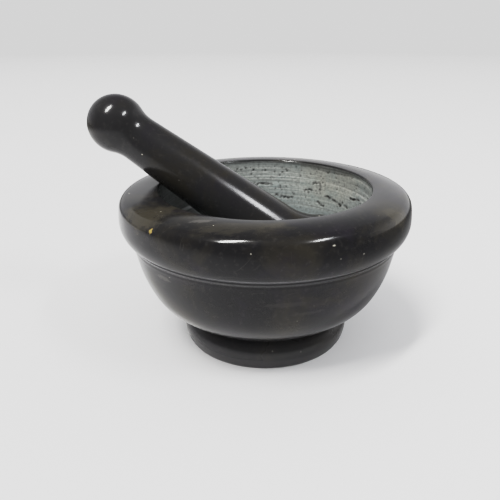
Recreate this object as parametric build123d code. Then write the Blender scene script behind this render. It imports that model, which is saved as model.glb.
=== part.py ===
from build123d import *
from math import acos, asin, atan2, cos, degrees, radians, sin, sqrt, tan
import os

# Stone mortar with a pestle leaning in it, in millimetres.
# Origin: centre of the mortar's foot, on the surface it stands on. +Z is up and the front faces -Y.
# The pestle leans over the rim on the -X side, with its working end in the bowl on the +X side.
# Outlines run clockwise round the stone. A bend is (degrees turned, radius); minus turns towards the stone.

# ---- mortar: rim
LIP_R = 51.8  # inner edge of the polished lip
LIP_Z = 77.85
LIP_RISE = 3.3  # slope of the crown where it leaves the lip
LIP_ROUND = 0.6
CROWN = (-19.7, 40.3)
SHOULDER = (-63.6, 5.6)
RIM_SIDE = (-9.8, 38.0)
RIM_UNDER = (-38.4, 12.0)

# ---- mortar: turned groove between rim and body
GROOVE = (65.6, 57.4)  # bottom of the groove
GROOVE_ROUND = 0.45

# ---- mortar: body
BODY_TOP = (65.9, 56.2)
BODY_SLOPE = -120.0  # direction of the wall at its top edge
BODY_FLARE = (17.7, 16.4)
BODY_WALL = 6.7  # straight part of the wall
BODY_UPPER = (-15.7, 58.7)
BODY_LOWER = (-40.0, 27.5)  # carries the wall round under the bowl

# ---- mortar: foot
FOOT_R = 42.2  # widest, part way up
FOOT_Z = 7.4
FOOT_ROLL = 6.0  # roll above the widest part
FOOT_TUCK = (-22.0, 16.6)  # the side tucks in below the widest part
CONTACT_R = 40.3
COVE_LEAN = 22.0  # slope of both sides of the cove above the roll

# ---- mortar: bowl, part of a sphere
BOWL_R = 51.3
BOWL_Z = 72.3

# ---- pestle, along its own axis from the tip of the working end
END_R = 22.0  # widest part of the flared working end
END_DOME = 30.0  # its rounded face
END_EDGE = 8.0  # rounding at the widest part
FLARE_R = 25.0  # hollow between working end and shaft
SHAFT_R = 15.84  # half the shaft's thickness, taken down level with the widest part
TAPER = 2.76  # half angle of the shaft, which narrows towards the knob
KNOB_R = 13.7
KNOB_Z = 123.57
NECK_R = 15.0  # hollow between shaft and knob

# ---- rest pose
LEAN = 35.04  # pestle axis above the horizontal
YAW = 4.56  # the knob lies this far towards the back
CROSS_Z = 56.66  # height where the pestle axis crosses the mortar axis
CLEAR = 0.25  # gap between working end and bowl


def heading(angle):
    return (cos(radians(angle)), sin(radians(angle)))


def bend(line, spec):
    return JernArc(start=line @ 1, tangent=line % 1, radius=spec[1], arc_size=spec[0])


with BuildPart() as mortar:
    with BuildSketch(Plane.XZ) as section:
        with BuildLine():
            crown = JernArc(
                start=(LIP_R, LIP_Z), tangent=heading(LIP_RISE), radius=CROWN[1], arc_size=CROWN[0]
            )
            shoulder = bend(crown, SHOULDER)
            rim_side = bend(shoulder, RIM_SIDE)
            rim_under = bend(rim_side, RIM_UNDER)
            Polyline(rim_under @ 1, GROOVE, BODY_TOP)

            flare = JernArc(
                start=BODY_TOP, tangent=heading(BODY_SLOPE), radius=BODY_FLARE[1], arc_size=BODY_FLARE[0]
            )
            wall = Line(flare @ 1, (flare @ 1) + BODY_WALL * (flare % 1))
            upper = bend(wall, BODY_UPPER)
            lower = bend(upper, BODY_LOWER)

            # the cove starts straight above where it ends on the roll
            slope = tan(radians(COVE_LEAN))
            cove_x = FOOT_R - FOOT_ROLL + FOOT_ROLL * sin(radians(COVE_LEAN))
            cove_top = (lower @ 1).Y - ((lower @ 1).X - cove_x) * slope
            cove_low = FOOT_Z + FOOT_ROLL * cos(radians(COVE_LEAN))
            soffit = Line(lower @ 1, (cove_x, cove_top))
            cove = bend(
                soffit, (180 - 2 * COVE_LEAN, (cove_top - cove_low) / (2 * cos(radians(COVE_LEAN))))
            )
            roll = bend(cove, (COVE_LEAN - 90, FOOT_ROLL))
            tuck = bend(roll, FOOT_TUCK)
            Polyline(tuck @ 1, (CONTACT_R, 0), (0, 0), (0, BOWL_Z - BOWL_R))

            # the bowl rises to the rounded inner edge of the lip
            lip = JernArc(
                start=(LIP_R, LIP_Z), tangent=heading(LIP_RISE + 180), radius=LIP_ROUND, arc_size=88
            )
            bowl_top = (lip @ 1).Y - LIP_ROUND
            bowl = RadiusArc(
                (0, BOWL_Z - BOWL_R), (sqrt(BOWL_R**2 - (bowl_top - BOWL_Z) ** 2), bowl_top), -BOWL_R
            )
            Line(bowl @ 1, lip @ 1)
        make_face()
        creases = section.vertices().filter_by(lambda v: v.X > 60 and BODY_TOP[1] - 1 < v.Y < GROOVE[1] + 1)
        fillet(creases, radius=GROOVE_ROUND)
    revolve(axis=Axis.Z)

# the flare's hollow touches the shaft and the rounding at the widest part
taper = radians(TAPER)
edge_r = END_R - END_EDGE
face = asin(edge_r / (END_DOME - END_EDGE))
widest_z = END_DOME - (END_DOME - END_EDGE) * cos(face)
spread = acos((SHAFT_R + FLARE_R - edge_r * cos(taper)) / (END_EDGE + FLARE_R))
flare_top = (END_EDGE + FLARE_R) * sin(spread) - edge_r * sin(taper)

# the neck's hollow touches the shaft and the knob
reach = KNOB_Z - widest_z
off = SHAFT_R + NECK_R - reach * sin(taper)
along = sqrt((KNOB_R + NECK_R) ** 2 - off**2)
shaft_len = reach * cos(taper) - along - flare_top
neck_turn = -degrees(atan2(along, off))

with BuildPart() as pestle:
    with BuildSketch(Plane.XZ):
        with BuildLine():
            dome = JernArc(start=(0, 0), tangent=(1, 0), radius=END_DOME, arc_size=degrees(face))
            edge = bend(dome, (90 + TAPER + degrees(spread - face), END_EDGE))
            end = bend(edge, (-degrees(spread), FLARE_R))
            shaft = Line(end @ 1, (end @ 1) + shaft_len * (end % 1))
            neck = bend(shaft, (neck_turn, NECK_R))
            knob = TangentArc(neck @ 1, (0, KNOB_Z + KNOB_R), tangent=neck % 1)
            Line(knob @ 1, (0, 0))
        make_face()
    revolve(axis=Axis.Z)

# at rest the working end sits CLEAR short of the bowl, measured along the bowl's radius
up = Vector(
    -cos(radians(YAW)) * cos(radians(LEAN)), sin(radians(YAW)) * cos(radians(LEAN)), sin(radians(LEAN))
)
below = BOWL_Z - CROSS_Z
stand = BOWL_R - END_DOME - CLEAR
down = sqrt(stand**2 - (below * cos(radians(LEAN))) ** 2) - below * sin(radians(LEAN))
tip = Vector(0, 0, CROSS_Z) - (down + END_DOME) * up
leaning = Plane(origin=tip, x_dir=(sin(radians(YAW)), cos(radians(YAW)), 0), z_dir=up).location

os.makedirs("parts", exist_ok=True)
export_step(mortar.part, "parts/mortar.step")
export_step(leaning * pestle.part, "parts/pestle.step")
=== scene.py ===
from math import acos, asin, atan2, cos, degrees, exp, pi, radians, sin, sqrt, tan

import bpy
import numpy as np
from mathutils import Matrix, Vector, noise


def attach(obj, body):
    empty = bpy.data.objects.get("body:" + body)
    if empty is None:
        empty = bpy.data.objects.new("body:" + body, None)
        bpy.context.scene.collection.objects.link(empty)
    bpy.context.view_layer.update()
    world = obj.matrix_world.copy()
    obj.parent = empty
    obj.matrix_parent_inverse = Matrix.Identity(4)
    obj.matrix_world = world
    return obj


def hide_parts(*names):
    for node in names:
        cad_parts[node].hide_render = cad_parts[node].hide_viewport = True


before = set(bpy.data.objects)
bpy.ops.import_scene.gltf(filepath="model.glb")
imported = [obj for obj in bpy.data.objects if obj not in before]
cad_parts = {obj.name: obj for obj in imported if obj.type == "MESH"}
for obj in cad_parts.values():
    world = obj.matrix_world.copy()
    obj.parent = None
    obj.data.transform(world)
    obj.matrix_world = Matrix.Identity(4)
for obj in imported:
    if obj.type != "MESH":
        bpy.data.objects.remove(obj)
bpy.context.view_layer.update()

# Shapes are worked out in millimetres and made in metres. The outlines are those of the CAD parts.
# Outlines run clockwise round the stone. A bend is (degrees turned, radius), and minus turns towards
# the stone. A straight is (length, None).
MM = 0.001

# ---- mortar outline
LIP = (51.8, 77.85)  # where the crown of the rim starts: radius, height
LIP_RISE = 3.3  # slope of the crown there
LIP_ROUND = 0.6  # rounding between the crown and the bowl
LIP_TURN = 88
RIM = [(-19.7, 40.3), (-63.6, 5.6), (-9.8, 38.0), (-38.4, 12.0)]
GROOVE = (65.6, 57.4)
GROOVE_ROUND = 0.45
BODY_TOP = (65.9, 56.2)
BODY_SLOPE = -120.0  # direction of the wall at its top edge
BODY = [(17.7, 16.4), (6.7, None), (-15.7, 58.7), (-40.0, 27.5)]
HOLLOW = (54.5, 0.8, 0.3)  # a faint hollow under the body's top edge: height, half width, depth
FOOT_R = 42.2  # widest, part way up
FOOT_Z = 7.4
FOOT_ROLL = 6.0  # roll above the widest part
FOOT_TUCK = (-22.0, 16.6)
CONTACT_R = 40.3
CONTACT_ROUND = 0.3
COVE_LEAN = 22.0  # slope of both sides of the cove above the roll
BOWL_R = 51.3
BOWL_Z = 72.3

# ---- pestle outline and rest pose
END_R = 22.0  # widest part of the flared working end
END_DOME = 30.0  # its rounded face
END_EDGE = 8.0  # rounding at the widest part
FLARE_R = 25.0  # hollow between working end and shaft
SHAFT_R = 15.84  # half the shaft's thickness, taken down level with the widest part
TAPER = 2.76  # half angle of the shaft, which narrows towards the knob
KNOB_R = 13.7
KNOB_Z = 123.57
NECK_R = 15.0  # hollow between shaft and knob
LEAN = 35.04  # pestle axis above the horizontal
YAW = 4.56  # the knob lies this far towards the back
CROSS_Z = 56.66  # height where the pestle axis crosses the mortar axis
CLEAR = 0.25  # gap between working end and bowl
INSET = 0.03  # keeps the pestle's skin inside its solid
WORN = (110.0, 45.0)  # the polish dulls between these distances from the tip, towards it

# ---- how finely the surfaces are divided
OUTSIDE_AROUND = 216
BOWL_AROUND = 648
PESTLE_AROUND = 192
ROW = 1.5  # spacing of rows on the polished stone
ROW_TURN = 5.0  # degrees that one row bends, at tight curves
LIP_ROW = 0.2
FLARE_ROW = 0.3  # at the top of the body
CORNER_ROWS = 4
BASE_ROWS = (0.92, 0.7, 0.4, 0.15)  # radii of the underside's rows, as shares of the foot's
BOWL_ROW = 0.5
# The rough upper wall is finest: down to this share of the bowl, points are this many times fewer
# and rows this many times further apart.
BOWL_BANDS = [(0.42, 1, 1), (0.72, 2, 2), (1.0, 8, 4)]
BOWL_STOP = 0.03  # radians from the bottom of the bowl where the rows end


# ================================================================ meshes


def follow(start, heading, bends, row=ROW):
    """Points along an outline of bends (degrees, radius) and straights (length, None)."""
    points = [np.array(start, float)]
    for amount, radius in bends:
        here = points[-1]
        if radius is None:
            ahead = np.array([cos(radians(heading)), sin(radians(heading))])
            count = max(2, round(amount / row))
            points += [here + ahead * amount * i / count for i in range(1, count + 1)]
            continue
        side = 1 if amount > 0 else -1
        centre = here + side * radius * np.array([-sin(radians(heading)), cos(radians(heading))])
        count = max(round(radius * abs(radians(amount)) / row), round(abs(amount) / ROW_TURN), 3)
        for i in range(1, count + 1):
            a = radians(heading + amount * i / count)
            points.append(centre + side * radius * np.array([sin(a), -cos(a)]))
        heading += amount
    return points, heading


def rounded(before, corner, after, radius):
    """The points that round off one corner of an outline."""
    a, c, b = (np.array(p, float) for p in (before, corner, after))
    u, v = (a - c) / np.linalg.norm(a - c), (b - c) / np.linalg.norm(b - c)
    half = np.arccos(np.clip(u @ v, -1, 1)) / 2
    reach = min(radius / tan(half), 0.45 * np.linalg.norm(a - c), 0.45 * np.linalg.norm(b - c))
    p, q = c + u * reach, c + v * reach
    steps = np.linspace(0, 1, CORNER_ROWS + 1)
    return [(1 - t) ** 2 * p + 2 * t * (1 - t) * c + t * t * q for t in steps]


def outside_outline():
    """The outline from the lip's inner edge over the rim and down to the middle of the foot."""
    lip, _ = follow(LIP, LIP_RISE + 180, [(LIP_TURN, LIP_ROUND)], LIP_ROW)
    rim, _ = follow(LIP, LIP_RISE, RIM)
    top, heading = follow(BODY_TOP, BODY_SLOPE, BODY[:1], FLARE_ROW)
    top = [p - (HOLLOW[2] * exp(-(((p[1] - HOLLOW[0]) / HOLLOW[1]) ** 2)), 0) for p in top]
    body, heading = follow(top[-1], heading, BODY[1:])
    body = top + body[1:]
    cove_x = FOOT_R - FOOT_ROLL + FOOT_ROLL * sin(radians(COVE_LEAN))
    cove_top = body[-1][1] - (body[-1][0] - cove_x) * tan(radians(COVE_LEAN))
    cove_low = FOOT_Z + FOOT_ROLL * cos(radians(COVE_LEAN))
    cove_r = (cove_top - cove_low) / (2 * cos(radians(COVE_LEAN)))
    soffit = (body[-1][0] - cove_x) / cos(radians(COVE_LEAN))
    bends = [(soffit, None), (180 - 2 * COVE_LEAN, cove_r), (COVE_LEAN - 90, FOOT_ROLL), FOOT_TUCK]
    foot, _ = follow(body[-1], heading, bends)
    groove = rounded(rim[-2], rim[-1], GROOVE, GROOVE_ROUND)
    groove += rounded(rim[-1], GROOVE, BODY_TOP, GROOVE_ROUND)
    groove += rounded(GROOVE, BODY_TOP, body[1], GROOVE_ROUND)
    edge = rounded(foot[-2], foot[-1], (CONTACT_R, 0), CONTACT_ROUND)
    edge += rounded(foot[-1], (CONTACT_R, 0), (0, 0), CONTACT_ROUND)
    base = [(CONTACT_R * share, 0) for share in BASE_ROWS]
    return lip[:0:-1] + rim[:-1] + groove + body[1:] + foot[1:-1] + edge + base


def skin(name, rings, first, last):
    """A closed mesh through rings of points, closed by a point at each end. A ring may have a whole
    multiple of its neighbour's points."""
    starts = np.cumsum([1] + [len(ring) for ring in rings]).tolist()
    faces = [(0, 1 + (i + 1) % len(rings[0]), 1 + i) for i in range(len(rings[0]))]
    for a, b, n, m in zip(starts, starts[1:], map(len, rings), map(len, rings[1:])):
        if n == m:
            faces += [(a + i, a + (i + 1) % n, b + (i + 1) % n, b + i) for i in range(n)]
            continue
        fine, coarse, way = (a, b, 1) if n > m else (b, a, -1)
        few, many = min(n, m), max(n, m)
        each = many // few
        half = each // 2
        for i in range(few):
            low, high = coarse + i, coarse + (i + 1) % few
            edge = [fine + (i * each + j) % many for j in range(each + 1)]
            faces.append((edge[half], high, low)[::way])
            for j in range(each):
                faces.append((edge[j], edge[j + 1], low if j < half else high)[::way])
    a, n = starts[-2], len(rings[-1])
    faces += [(a + i, a + (i + 1) % n, starts[-1]) for i in range(n)]

    mesh = bpy.data.meshes.new(name)
    mesh.from_pydata((np.vstack([[first], *rings, [last]]) * MM).tolist(), [], faces)
    mesh.shade_smooth()
    piece = bpy.data.objects.new(name, mesh)
    bpy.context.scene.collection.objects.link(piece)
    return piece


def ring(radius, height, around):
    """Points round the axis. Angles start behind the mortar, at +Y, and go towards +X."""
    turn = np.arange(around) * 2 * pi / around
    return np.stack([radius * np.sin(turn), radius * np.cos(turn), height + 0 * turn], 1)


def paint(piece, name, values):
    """Keeps one number per vertex for the piece's material to read."""
    kept = piece.data.attributes.new(name, "FLOAT", "POINT")
    kept.data.foreach_set("value", np.asarray(values, np.float32))


# ================================================================ the bowl's worn surface

# Places in the bowl are (degrees from the back towards +X, millimetres down the wall from the lip).
LIP_ABOVE = 5  # the lip is about this far up the wall from the level of the bowl's centre
STEP = 0.22  # the rough wall is cut this much deeper than the polished lip
LIP_BAND = [(0.6, 0, 400), (2.4, 46, 22), (1.4, -125, 35), (1.0, 160, 20)]  # width, middle, spread
BAND_EDGE = 0.5  # the polish fades out over this distance
BAND_DULL = 0.55  # how far the polish is gone from the band
LIP_DULL = 0.04  # how far it is gone from the lip's rounded edge
BAND_CUT = (0.16, 0.45)  # a line along the wide parts of the band: depth, darkness
BAND_DARK = 0.4  # darkness along the band's lower edge
TURNED = 0.05  # depth of the turned rings
GRAIN = 0.035  # depth of the coarse grain
SMOOTH = (-78, 40, 32)  # the wall is nearly as smooth as the rim here: middle, spread, how far down
SMOOTHER = 0.85  # by this much
LIP_KEPT = 0.8  # nothing is cut away at the lip itself, and less than the full depth down to here
CRACKS = [
    ((-7, 13.3), (-4, 13.6), (0, 13.4), (4.5, 13.9)),
    ((8, 19.6), (10, 20.8), (12, 20.3), (15.5, 21.1), (18.5, 20.2)),
    ((27, 15.9), (29, 14.7), (32, 15.5)),
    ((31.5, 11.9), (34, 10.4), (36, 10.4), (37.5, 12.2), (37.5, 14.8)),
    ((37, 20.8), (39, 21.8), (42, 22.6)),
    ((42, 16.9), (45.5, 17.2), (48, 17.4), (49, 18.1), (51.5, 18.4)),
    ((53, 19.4), (55, 19.2), (57, 17.5)),
    ((59, 18.6), (61.5, 19.1)),
    ((62.5, 13.8), (65.5, 13.9), (69.5, 12.5), (72.5, 12.9), (76, 14.6)),
]
CRACK_WIDTH = 0.46
CRACK_DEPTH = 0.7
CRACK_BEND = 0.7  # how far a crack strays from its line
SCORES = [  # millimetres down, from, to
    (6.3, 58, 86), (9.2, 34, 80), (11.4, -30, 20), (24.0, 5, 60), (16.0, -20, 5),
]
SCORE_WIDTH = 0.32
SCORE_CUT = (0.12, 0.28)  # depth, darkness
PITS = [
    (-18, 4.4), (-15.5, 5.0), (-12.5, 4.2), (-9, 7.8), (-7.5, 5.3), (0, 5.7), (6, 6.4),
    (9.3, 8.4), (11, 6.6), (14, 5.6), (10, 15.5), (19.3, 18.5), (29.2, 16.5),
]
PIT_SIZE = 0.5
PIT_CUT = (0.8, 0.9)  # depth for its size, darkness
CHIPS_AWAY = 16  # more short cracks, on the rest of the wall
PITS_AWAY = 420  # more pits, all round


def drift(x, y, z):
    """Smooth noise between -1 and 1 at each place."""
    return np.array([noise.noise(Vector(p)) for p in zip(x, y, z)])


def bell(x):
    """1 where x is 0, falling smoothly to 0."""
    return np.exp(-(x**2))


def beside(turn, middle):
    """Degrees from middle, the short way round."""
    return (turn - middle + 180) % 360 - 180


def round_wall(turn, down):
    """Millimetres round the wall to a place that is turned this many radians from the back."""
    return turn * BOWL_R * cos(max(0, down - LIP_ABOVE) / BOWL_R)


def near_line(across, down, line):
    """Distance in millimetres from each place to a line of points."""
    best = np.full(across.shape, 1e9)
    for (x0, y0), (x1, y1) in zip(line, line[1:]):
        long = max((x1 - x0) ** 2 + (y1 - y0) ** 2, 1e-9)
        t = np.clip(((across - x0) * (x1 - x0) + (down - y0) * (y1 - y0)) / long, 0, 1)
        best = np.minimum(best, np.hypot(across - x0 - t * (x1 - x0), down - y0 - t * (y1 - y0)))
    return best


def polish_gone(turn, down, x, y):
    """How wide the polished band is beside each place in the bowl, and how far the polish is gone."""
    width = sum(w * bell(beside(turn, at) / reach) for w, at, reach in LIP_BAND)
    width = width + 0.45 * drift(x * 6, y * 6, 0 * down) + 0.3 * drift(x * 22, y * 22, down * 0.4)
    rough = np.clip((down - width) / BAND_EDGE + 0.5, 0, 1)
    rough = rough * rough * (3 - 2 * rough)
    half = BAND_DULL * np.clip(down / 0.4, 0, 1)
    rough = half + (1 - half) * rough
    middle, reach, low = SMOOTH
    around = beside(turn, middle) / reach
    rough *= 1 - SMOOTHER * np.exp(-(around**4)) * np.clip((low - down) / 4, 0, 1)
    return width, rough


def crack_lines():
    """The cracks as lines of (millimetres round the wall, millimetres down it), and the source of
    random numbers for what comes after them."""
    chance = np.random.default_rng(11)
    lines = [[(round_wall(radians(t), d), d) for t, d in crack] for crack in CRACKS]
    for _ in range(CHIPS_AWAY):
        at, d = chance.uniform(95, 330), chance.uniform(8, 32)
        steps = np.cumsum(chance.uniform((0.8, -1.1), (2.2, 1.1), (chance.integers(2, 5), 2)), 0)
        start = (round_wall(radians(at if at < 180 else at - 360), d), d)
        lines.append([start] + [(start[0] + s[0], start[1] + s[1]) for s in steps])
    return lines, chance


def wear(turn, down, radius):
    """For each place in the bowl: how deep it is cut into the stone, how rough it is and how dark."""
    x, y = np.sin(np.radians(turn)), np.cos(np.radians(turn))
    width, rough = polish_gone(turn, down, x, y)
    inner = bell((down - 0.55 * width) / 0.3) * np.clip(width - 1.2, 0, 1)
    rings = drift(x * 1.5, y * 1.5, down * 0.75) + 0.7 * drift(x * 4, y * 4, 9 + down * 1.7)
    grain = drift(x * 45, y * 45, down * 0.9) + 0.6 * drift(x * 90, y * 90, down * 2)
    depth = STEP * rough + rough * (TURNED * (1 + rings) + GRAIN * (1 + grain)) + BAND_CUT[0] * inner
    dark = BAND_CUT[1] * inner + BAND_DARK * bell((down - width - 0.25) / 0.3)

    across = np.radians(turn) * radius
    lines, chance = crack_lines()
    ragged = 0.5 * drift(across * 0.8, down * 0.8, 0 * down)
    ragged += 0.4 * drift(across * 2, down * 2, 5 + 0 * down)
    bent = CRACK_BEND * drift(across * 0.7, down * 0.7, 3 + 0 * down)
    askew = CRACK_BEND * drift(across * 0.7, down * 0.7, 13 + 0 * down)
    broken = np.clip(0.75 + 1.3 * drift(across * 0.55, down * 0.55, 8 + 0 * down), 0, 1)
    for line in lines:
        off = np.maximum(near_line(across + bent, down + askew, line) + ragged, 0)
        depth += CRACK_DEPTH * broken * bell(off / CRACK_WIDTH)
        dark += broken * bell(off / (1.15 * CRACK_WIDTH))
    for drop, low, high in SCORES:
        ends = np.clip((turn - low) / 6, 0, 1) * np.clip((high - turn) / 6, 0, 1)
        line = bell((down - drop - 0.5 * rings) / SCORE_WIDTH) * ends
        depth += SCORE_CUT[0] * line
        dark += SCORE_CUT[1] * line

    spots = [(round_wall(radians(t), d), d, PIT_SIZE) for t, d in PITS]
    for _ in range(PITS_AWAY):
        d = 2.5 + 34 * chance.random() ** 1.7
        t = chance.uniform(-pi, pi)
        spots.append((round_wall(t, d), d, chance.uniform(0.2, 0.45)))
    for at, drop, size in spots:
        close = np.flatnonzero((abs(across - at) < 2) & (abs(down - drop) < 2))
        pit = np.exp(-((across[close] - at) ** 2 + (down[close] - drop) ** 2) / size**2)
        depth[close] += PIT_CUT[0] * size * pit
        dark[close] += PIT_CUT[1] * pit
    return depth, rough, np.clip(dark, 0, 1)


# ================================================================ the two stones


def bowl_rows(low):
    """Rows down the bowl, as (radians from the lip, points round the row). The bottom is at low."""
    rows, at = [], 0.0
    while at < low - BOWL_STOP:
        fewer, apart = next((fewer, apart) for share, fewer, apart in BOWL_BANDS if at / low < share)
        rows.append((at, BOWL_AROUND // fewer))
        at += BOWL_ROW * apart / BOWL_R
    return rows


def make_mortar():
    outline = outside_outline()
    top = atan2(outline[0][1] - BOWL_Z, BOWL_R)
    low = top + pi / 2
    rows = bowl_rows(low)
    turn = np.concatenate([(np.arange(n) * 360 / n + 180) % 360 - 180 for _, n in rows])
    fall = np.concatenate([np.full(n, a) for a, n in rows])
    radius = BOWL_R * np.cos(top - fall)
    depth, rough, dark = wear(turn, fall * BOWL_R, radius)
    depth *= np.clip(fall * BOWL_R / LIP_KEPT, 0, 1)
    r, z = (BOWL_R + depth) * np.cos(top - fall), BOWL_Z + (BOWL_R + depth) * np.sin(top - fall)
    x, y = np.sin(np.radians(turn)), np.cos(np.radians(turn))
    inside = np.split(np.stack([r * x, r * y, z], 1), np.cumsum([n for _, n in rows])[:-1])
    outside = [ring(px, pz, OUTSIDE_AROUND) for px, pz in outline]
    piece = skin("mortar_stone", inside[::-1] + outside, (0, 0, BOWL_Z - BOWL_R), (0, 0, 0))

    def order(values, pole, shell):
        """The values in the mesh's order: the bowl from its bottom up, then the outside."""
        parts = np.split(values, np.cumsum([n for _, n in rows])[:-1])
        return np.concatenate([[pole], *parts[::-1], np.repeat(shell, OUTSIDE_AROUND), [0]])

    none = np.zeros(len(outline))
    edge = np.array([LIP_DULL if r < LIP[0] and z > GROOVE[1] else 0 for r, z in outline])
    paint(piece, "rough", order(rough, 1, edge))
    paint(piece, "dark", order(dark, 0, none))
    paint(piece, "down", order(fall * BOWL_R, low * BOWL_R, none))
    return piece


def pestle_outline():
    """The outline from the tip of the working end to the top of the knob."""
    taper = radians(TAPER)
    edge_r = END_R - END_EDGE
    face = asin(edge_r / (END_DOME - END_EDGE))
    widest_z = END_DOME - (END_DOME - END_EDGE) * cos(face)
    spread_by = acos((SHAFT_R + FLARE_R - edge_r * cos(taper)) / (END_EDGE + FLARE_R))
    flare_top = (END_EDGE + FLARE_R) * sin(spread_by) - edge_r * sin(taper)
    reach = KNOB_Z - widest_z
    off = SHAFT_R + NECK_R - reach * sin(taper)
    along = sqrt((KNOB_R + NECK_R) ** 2 - off**2)
    shaft = reach * cos(taper) - along - flare_top
    neck = -degrees(atan2(along, off))
    dome = (degrees(face), END_DOME)
    edge = (90 + TAPER + degrees(spread_by - face), END_EDGE)
    flare = (-degrees(spread_by), FLARE_R)
    end, heading = follow((0, 0), 0, [dome, edge, flare, (shaft, None), (neck, NECK_R)])
    knob, _ = follow(end[-1], heading, [(180 - heading, KNOB_R)])
    return end + knob[1:]


def make_pestle():
    outline = pestle_outline()[::-1]
    lean, yaw = radians(LEAN), radians(YAW)
    up = np.array([-cos(yaw) * cos(lean), sin(yaw) * cos(lean), sin(lean)])
    side = np.array([sin(yaw), cos(yaw), 0])
    below = BOWL_Z - CROSS_Z
    down = sqrt((BOWL_R - END_DOME - CLEAR) ** 2 - (below * cos(lean)) ** 2) - below * sin(lean)
    tip = np.array([0, 0, CROSS_Z]) - (down + END_DOME) * up
    leaning = np.stack([side, np.cross(up, side), up])
    rings = [ring(r - INSET, z, PESTLE_AROUND) @ leaning + tip for r, z in outline[1:-1]]
    piece = skin("pestle_stone", rings, tip + (outline[0][1] - INSET) * up, tip)
    rows = np.repeat([z for _, z in outline[1:-1]], PESTLE_AROUND)
    along = np.concatenate([[outline[0][1]], rows, [0]])
    paint(piece, "worn", np.clip((WORN[0] - along) / (WORN[0] - WORN[1]), 0, 1))
    return piece


# ================================================================ materials


def link(tree, value, socket):
    """Puts a number, a colour or another node's output on a socket."""
    if isinstance(value, bpy.types.NodeSocket):
        tree.links.new(value, socket)
    else:
        socket.default_value = value


def node(tree, kind, inputs, **settings):
    made = tree.nodes.new(kind)
    for key, value in settings.items():
        setattr(made, key, value)
    for key, value in inputs.items():
        link(tree, value, made.inputs[key])
    return made


def sums(tree, operation, a, b=0.0):
    return node(tree, "ShaderNodeMath", {0: a, 1: b}, operation=operation).outputs[0]


def times(tree, a, b):
    return sums(tree, "MULTIPLY", a, b)


def vectors(tree, operation, *inputs):
    """The number that a vector operation gives."""
    made = node(tree, "ShaderNodeVectorMath", dict(enumerate(inputs)), operation=operation)
    return made.outputs["Value"]


def attribute(tree, name):
    return node(tree, "ShaderNodeAttribute", {}, attribute_name=name).outputs["Fac"]


def spread(tree, value, low, high, to_low=0.0, to_high=1.0):
    """Value from low..high becomes to_low..to_high, and stays inside them."""
    made = node(tree, "ShaderNodeMapRange", {"Value": value, "From Min": low, "From Max": high,
                                             "To Min": to_low, "To Max": to_high})
    return made.outputs[0]


def blend(tree, share, a, b):
    """Colour a where share is 0 and b where it is 1."""
    made = tree.nodes.new("ShaderNodeMix")
    made.data_type = "RGBA"
    for value, at in ((share, 0), (a, 6), (b, 7)):
        link(tree, value, made.inputs[at])
    return made.outputs[2]


def clouds(tree, place, scale, detail=3.0, rough=0.55, distort=0.0):
    made = node(tree, "ShaderNodeTexNoise", {"Vector": place, "Scale": scale, "Detail": detail,
                                             "Roughness": rough, "Distortion": distort})
    return made.outputs[0]


def stretched(tree, place, scale, shift=(0, 0, 0)):
    made = node(tree, "ShaderNodeMapping", {"Vector": place, "Scale": scale, "Location": shift})
    return made.outputs[0]


# ---- colours of the polished stone
BLACK = (0.017, 0.0165, 0.018, 1)
PESTLE_BLACK = (0.030, 0.0293, 0.0307, 1)
OLIVE = (0.038, 0.034, 0.027, 1)
VIOLET = (0.025, 0.022, 0.031, 1)
VEIN = (0.085, 0.08, 0.075, 1)
SPECK = (0.5, 0.48, 0.42, 1)
FAWN = (0.085, 0.076, 0.056, 1)
GOLD = (0.34, 0.26, 0.10, 1)
MATTE_AND_PAINTED_LIGHT = (0.055, 0.054, 0.056, 1)  # unpolished, on the foot and under the body; its paler colour is partly painted light that lifts the shade there
GROOVE_PAINTED_LIGHT = (0.2, 0.2, 0.205, 1)  # painted light in the groove: paler, so that the groove's shade comes out less dark

# ---- colours of the ground stone
GREY = (0.31, 0.33, 0.32, 1)
PALE = (0.52, 0.53, 0.51, 1)
TAN = (0.45, 0.425, 0.36, 1)
TEAL = (0.26, 0.33, 0.335, 1)
DEEP_PAINTED_SHADE = (0.15, 0.18, 0.185, 1)  # painted shade low in the bowl, darkening the lower wall where more light falls on it
SHADE = (0.035, 0.033, 0.03, 1)  # in cracks and pits

# ---- finish
REFRACTION = 1.52
GLOSS = (0.13, 0.21)  # roughness of the polish, from its clearest to its most smeared
WORN_MORE = 0.05  # more roughness where the pestle is worn,
MATTE_MORE = 0.2  # on the unpolished foot and in the groove,
GROUND_MORE = 0.6  # and on the ground stone
BUMP = 0.25  # strength of the fine surface detail
BUMP_HEIGHT = 0.05 * MM
GROUND_BUMP = 6  # how much coarser the ground stone is
FOOT_MATTE_AND_PAINTED_LIGHT = (0.004, 0.0065)  # heights in metres: the foot is unpolished below, with its paler colour partly painted light, and polished above
UNDER_MATTE_AND_PAINTED_LIGHT = (0.012, 0.03)  # and its top and the underside of the body are half polished, and half as much painted light lifts their shade
GROOVE_LIGHT_REACH = (0.0004, 0.0011)  # metres from the groove's bottom over which its painted light ends
TAN_SIDE = (0.01, 0.055)  # metres towards +X over which the tan tint comes in
PAINTED_SHADE_DOWN = (9, 30)  # millimetres down the wall over which the painted shade darkens the bowl

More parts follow.
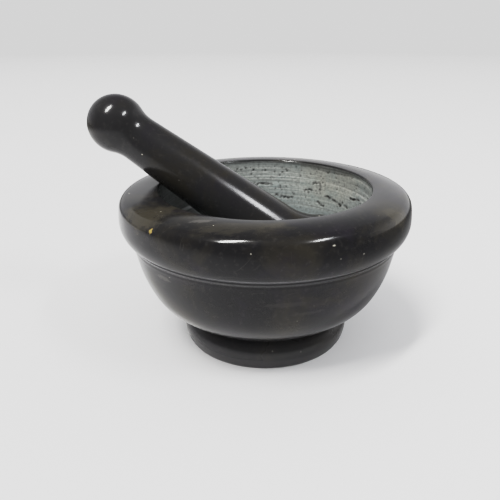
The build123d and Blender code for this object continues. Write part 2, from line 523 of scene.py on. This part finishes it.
MARKS = [  # marks in the mortar's polished stone, in millimetres: middle, reach, colour, strength
    ((-50, -41, 76), (17, 13, 7), FAWN, 0.6),
    ((56, -38, 75), (9, 7, 7), FAWN, 0.5),
    ((-8, -58, 76), (22, 6, 5), FAWN, 0.35),
    ((-45.7, -51.7, 73.3), (1.3, 0.9, 1.6), GOLD, 1.0),
    ((-24.9, -52.3, 77.7), (6, 1.6, 2), VEIN, 1.0),
    ((26.1, -64.3, 72.2), (0.8, 0.6, 0.4), SPECK, 0.8),
    ((38.8, -58.3, 66.2), (0.5, 0.5, 0.45), SPECK, 0.35),
    ((-5.3, -69.4, 70.9), (0.35, 0.5, 0.35), SPECK, 0.6),
    ((29, -63.7, 66.4), (0.4, 0.5, 0.35), SPECK, 0.3),
    ((-43, -47, 50.3), (6, 5, 1.4), VEIN, 0.7),
    ((8, -62, 45.5), (11, 4, 1.4), VEIN, 0.2),
    ((18, -58, 40), (9, 4, 1.0), VEIN, 0.2),
]
MARK_RAGGED = 2.0  # how uneven the outlines of the marks are


def blot(tree, place, middle, reach):
    """1 inside a ragged spot at middle, given in millimetres, and 0 outside its reach."""
    scale = tuple(1 / (r * MM) for r in reach)
    away = stretched(tree, place, scale, tuple(-m / r for m, r in zip(middle, reach)))
    far = vectors(tree, "LENGTH", away)
    uneven = sums(tree, "SUBTRACT", clouds(tree, away, 2.2, 4, 0.7), 0.5)
    return spread(tree, sums(tree, "ADD", far, times(tree, uneven, MARK_RAGGED)), 0.55, 1.0, 1, 0)


def polished(tree, place, black):
    """(colour, roughness, height) of near-black polished stone with mottling, specks and veins."""
    patches = clouds(tree, place, 42, 4, 0.6, 0.6)
    colour = blend(tree, spread(tree, patches, 0.47, 0.68), black, OLIVE)
    patches = clouds(tree, stretched(tree, place, (1, 1, 1), (0.3, 0.1, 0.7)), 34, 4, 0.6, 0.8)
    colour = blend(tree, spread(tree, patches, 0.52, 0.74), colour, VIOLET)
    fine = clouds(tree, place, 420, 3, 0.65)
    colour = blend(tree, spread(tree, fine, 0.55, 0.8, 0, 0.35), colour, VEIN)

    # veins follow the line where a wandering noise crosses its middle, and are broken up by another
    wander = sums(tree, "ABSOLUTE", sums(tree, "SUBTRACT", clouds(tree, place, 26, 3, 0.5, 1.4), 0.5))
    vein = spread(tree, wander, 0, 0.0035, 1, 0)
    broken = spread(tree, clouds(tree, place, 60, 2), 0.52, 0.62)
    colour = blend(tree, times(tree, times(tree, vein, broken), 0.55), colour, VEIN)

    # a few cells hold a speck at their middle
    cells = node(tree, "ShaderNodeTexVoronoi", {"Vector": place, "Scale": 300.0})
    chosen = node(tree, "ShaderNodeSeparateColor", {"Color": cells.outputs["Color"]})
    size = spread(tree, chosen.outputs[0], 0.93, 1.0, 0.0, 0.13)
    dot = sums(tree, "LESS_THAN", cells.outputs["Distance"], size)
    colour = blend(tree, times(tree, dot, chosen.outputs[1]), colour, SPECK)

    gloss = spread(tree, clouds(tree, place, 16, 5, 0.6, 0.4), 0.35, 0.7, *GLOSS)
    fine = times(tree, clouds(tree, place, 900, 2), 0.15)
    return colour, gloss, sums(tree, "ADD", fine, clouds(tree, place, 70, 2))


def ground(tree, place):
    """(colour, height) of the bowl's dull grey stone with its turned lines."""
    down = attribute(tree, "down")
    split = node(tree, "ShaderNodeSeparateXYZ", {"Vector": place})
    unrolled = {"X": split.outputs[0], "Y": split.outputs[1], "Z": times(tree, down, 0.04)}
    unrolled = node(tree, "ShaderNodeCombineXYZ", unrolled).outputs[0]
    lines = clouds(tree, stretched(tree, unrolled, (14, 14, 22)), 1, 3, 0.6)
    fine = clouds(tree, stretched(tree, unrolled, (40, 40, 60)), 1, 3, 0.7)
    colour = blend(tree, spread(tree, lines, 0.41, 0.6), GREY, PALE)
    colour = blend(tree, spread(tree, fine, 0.4, 0.7, 0, 0.6), colour, GREY)
    tinted = spread(tree, clouds(tree, place, 24, 3), 0.4, 0.6, 0, 0.7)
    tinted = times(tree, tinted, spread(tree, split.outputs[0], *TAN_SIDE))
    colour = blend(tree, tinted, colour, TAN)
    patches = clouds(tree, stretched(tree, place, (1, 1, 1), (2, 5, 1)), 45, 4)
    colour = blend(tree, spread(tree, patches, 0.52, 0.7, 0, 0.7), colour, TEAL)
    # painted shade: the lower wall, which faces the lamps more, is coloured darker
    colour = blend(tree, spread(tree, down, *PAINTED_SHADE_DOWN, 0, 0.75), colour, DEEP_PAINTED_SHADE)
    grains = spread(tree, clouds(tree, place, 700, 3, 0.7), 0.45, 0.8, 0, 0.5)
    colour = blend(tree, grains, colour, SHADE)
    return colour, sums(tree, "ADD", times(tree, fine, 0.7), clouds(tree, place, 1100, 4, 0.7))


def new_material(name):
    """A material, its node tree, and the place in the object that its patterns go by."""
    material = bpy.data.materials.new(name)
    material.use_nodes = True
    tree = material.node_tree
    return material, tree, node(tree, "ShaderNodeTexCoord", {}).outputs["Object"]


def finish_stone(tree, colour, gloss, height):
    shader = tree.nodes["Principled BSDF"]
    shader.inputs["IOR"].default_value = REFRACTION
    link(tree, colour, shader.inputs["Base Color"])
    link(tree, gloss, shader.inputs["Roughness"])
    detail = {"Height": height, "Strength": BUMP, "Distance": BUMP_HEIGHT}
    link(tree, node(tree, "ShaderNodeBump", detail).outputs[0], shader.inputs["Normal"])


def pestle_material():
    material, tree, place = new_material("pestle_stone")
    place = stretched(tree, place, (1, 1, 1), (1.3, 0.4, 2.1))
    colour, gloss, height = polished(tree, place, PESTLE_BLACK)
    gloss = sums(tree, "ADD", gloss, times(tree, attribute(tree, "worn"), WORN_MORE))
    finish_stone(tree, colour, gloss, height)
    return material


def mortar_material():
    material, tree, place = new_material("mortar_stone")
    rough, dark = attribute(tree, "rough"), attribute(tree, "dark")
    shine, gloss, smooth = polished(tree, place, BLACK)
    for middle, reach, colour, share in MARKS:
        spot = times(tree, blot(tree, place, middle, reach), share)
        shine = blend(tree, spot, shine, colour)
    height = node(tree, "ShaderNodeSeparateXYZ", {"Vector": place}).outputs[2]
    # the foot and the body's underside are unpolished, and their paler colour is also painted light
    # that lifts the shade in the cove and under the body
    foot = spread(tree, height, *FOOT_MATTE_AND_PAINTED_LIGHT, 1, 0)
    matte_and_painted_light = sums(tree, "MAXIMUM", foot, spread(tree, height, *UNDER_MATTE_AND_PAINTED_LIGHT, 0.5, 0))
    shine = blend(tree, matte_and_painted_light, shine, MATTE_AND_PAINTED_LIGHT)
    # painted light: the groove is coloured pale so that its shade comes out less dark
    groove = sums(tree, "ABSOLUTE", sums(tree, "SUBTRACT", height, GROOVE[1] * MM))
    groove = spread(tree, groove, *GROOVE_LIGHT_REACH, 1, 0)
    shine = blend(tree, groove, shine, GROOVE_PAINTED_LIGHT)
    matte_and_painted_light = sums(tree, "MAXIMUM", matte_and_painted_light, groove)
    gloss = sums(tree, "ADD", gloss, times(tree, matte_and_painted_light, MATTE_MORE))
    dull, coarse = ground(tree, place)
    colour = blend(tree, dark, blend(tree, rough, shine, dull), SHADE)
    gloss = sums(tree, "ADD", gloss, times(tree, rough, GROUND_MORE))
    height = sums(tree, "ADD", smooth, times(tree, times(tree, coarse, rough), GROUND_BUMP))
    finish_stone(tree, colour, gloss, height)
    return material


# ================================================================ surroundings


def toward(azimuth, elevation):
    """A direction from the mortar. Azimuth 0 is behind it, at +Y, and 90 at +X."""
    a, e = radians(azimuth), radians(elevation)
    return Vector((sin(a) * cos(e), cos(a) * cos(e), sin(e)))


def lamp(name, start, end, wide, distance, radiance, colour):
    """A soft light that reaches from start to end, each (azimuth, elevation), and is wide degrees
    across. Its brightness as seen from the mortar is radiance, whatever its distance."""
    a, b = toward(*start), toward(*end)
    middle = (a + b).normalized()
    along = (b - a).normalized()
    data = bpy.data.lights.new(name, "AREA")
    data.shape = "ELLIPSE"
    data.size = 2 * distance * tan(a.angle(b) / 2)
    data.size_y = 2 * distance * tan(radians(wide) / 2)
    data.energy = radiance * pi * (pi / 4 * data.size * data.size_y)
    data.color = colour
    made = bpy.data.objects.new(name, data)
    turned = Matrix((along, middle.cross(along), middle)).transposed().to_4x4()
    made.matrix_world = Matrix.Translation(middle * distance) @ turned
    bpy.context.scene.collection.objects.link(made)


LAMPS = [  # name, start, end, width, distance, radiance, colour
    ("lamp_left", (-138, 48), (-136, 77), 4.6, 20.0, 70, (1.0, 0.99, 0.97)),
    ("lamp_right", (138, 47.5), (114, 56.5), 4, 0.745, 45, (0.97, 0.98, 1.0)),
]

PAPER = (0.83, 0.83, 0.835, 1)
PAPER_ROUGH = 0.9
FLOOR_REACH = 8.0
FLOOR_FADE = (0.5, 3.0)  # the floor fades into the room's pale distance between these
UNLIT = (0.1, 0.1, 0.1, 1)  # in reflections the floor fades to this, over these distances
LIT_REACH = (0.15, 0.5)
LIT_MIDDLE = (-0.22, 0.06, 0.0)  # from here
GLOW = (1.4, 1.4, 1.4, 1)  # in reflections the floor is this bright by the foot
FOOT_GLOW = (0.042, 0.066)  # and not beyond these distances from its middle


def make_stage():
    """A pale floor that fades into the distance. In reflections it is lit unevenly."""
    mesh = bpy.data.meshes.new("floor")
    corners = [(-1, -1), (1, -1), (1, 1), (-1, 1)]
    corners = [(x * FLOOR_REACH, y * FLOOR_REACH, 0) for x, y in corners]
    mesh.from_pydata(corners, [], [(0, 1, 2, 3)])
    floor = bpy.data.objects.new("floor", mesh)
    bpy.context.scene.collection.objects.link(floor)
    material, tree, place = new_material("paper")
    shader = tree.nodes["Principled BSDF"]
    shader.inputs["Roughness"].default_value = PAPER_ROUGH
    mirrored = node(tree, "ShaderNodeLightPath", {}).outputs["Is Glossy Ray"]
    apart = vectors(tree, "DISTANCE", place, LIT_MIDDLE)
    dim = times(tree, mirrored, spread(tree, apart, *LIT_REACH))
    away = vectors(tree, "LENGTH", place)
    near = times(tree, mirrored, spread(tree, away, *FOOT_GLOW, 1, 0))
    paper = blend(tree, near, PAPER, GLOW)
    link(tree, blend(tree, dim, paper, UNLIT), shader.inputs["Base Color"])
    link(tree, spread(tree, away, *FLOOR_FADE, 1, 0), shader.inputs["Alpha"])
    mesh.materials.append(material)


# The room as the stones reflect it. Heights are the upward part of a direction, from 0 to 1.
BACK_LEFT = (0.60, 0.60, 0.61, 1)  # low down, behind the mortar
BACK_RIGHT = (1.05, 1.05, 1.06, 1)
BACK_HIGH = (0.40, 0.40, 0.40, 1)
BACK_FADE = (0.30, 0.62)  # heights between which the low part gives way to the high part
FRONT = (0.12, 0.115, 0.11, 1)
CEILING = (0.24, 0.235, 0.225, 1)
CEILING_FADE = (0.6, 0.8)
SOFT_LIGHT = (0.68, 0.68, 0.685, 1)  # the room as a source of light
DISTANCE = (0.72, 0.72, 0.72, 1)  # the room as it is seen directly


def make_world():
    """A room that is bright low down behind the mortar and dim elsewhere. It is pale where it is seen
    directly, and as a source of soft light."""
    world = bpy.data.worlds.new("room")
    bpy.context.scene.world = world
    world.use_nodes = True
    tree = world.node_tree
    way = node(tree, "ShaderNodeTexCoord", {}).outputs["Generated"]
    across, back, up = node(tree, "ShaderNodeSeparateXYZ", {"Vector": way}).outputs
    bright = blend(tree, spread(tree, across, -0.9, 0.9), BACK_LEFT, BACK_RIGHT)
    behind = blend(tree, spread(tree, up, *BACK_FADE), bright, BACK_HIGH)
    room = blend(tree, spread(tree, back, -0.3, 0.3), FRONT, behind)
    room = blend(tree, spread(tree, up, *CEILING_FADE), room, CEILING)
    path = node(tree, "ShaderNodeLightPath", {})
    room = blend(tree, path.outputs["Is Glossy Ray"], SOFT_LIGHT, room)
    room = blend(tree, path.outputs["Is Camera Ray"], room, DISTANCE)
    link(tree, room, tree.nodes["Background"].inputs["Color"])


LENS = 38.88  # on a sensor 36 mm wide
SHIFT = -0.0304
CAMERA_AT = (0.0, -0.25305, 0.14954)
CAMERA_DOWN = 22.75  # degrees below the horizontal


def make_camera():
    data = bpy.data.cameras.new("camera")
    data.sensor_width = 36.0
    data.lens = LENS
    data.shift_x = SHIFT
    data.clip_start = 0.01
    camera = bpy.data.objects.new("camera", data)
    camera.location = CAMERA_AT
    camera.rotation_euler = (radians(90 - CAMERA_DOWN), 0.0, 0.0)
    bpy.context.scene.collection.objects.link(camera)
    bpy.context.scene.camera = camera


# Light in the scene, and how light the picture shows it: darks are deepened and whites held back.
TONES = [(0.0, 0.0), (0.03, 0.017), (0.07, 0.045), (0.12, 0.092), (0.2, 0.185), (0.45, 0.5),
         (0.75, 0.67), (1.15, 0.755), (2.0, 0.84), (4.0, 1.0)]


def set_tones():
    view = bpy.context.scene.view_settings
    view.view_transform = "Standard"
    view.use_curve_mapping = True
    mapping = view.curve_mapping
    brightest = TONES[-1][0]
    mapping.white_level = (brightest, brightest, brightest)
    curve = mapping.curves[3]  # red, green and blue together
    for light, shown in TONES[1:-1]:
        curve.points.new(light / brightest, shown)
    mapping.update()


# ================================================================ the scene

mortar = make_mortar()
mortar.data.materials.append(mortar_material())
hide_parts("mortar")
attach(mortar, "mortar")

pestle = make_pestle()
pestle.data.materials.append(pestle_material())
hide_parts("pestle")
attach(pestle, "pestle")

make_stage()
make_world()
for each in LAMPS:
    lamp(*each)
make_camera()
set_tones()
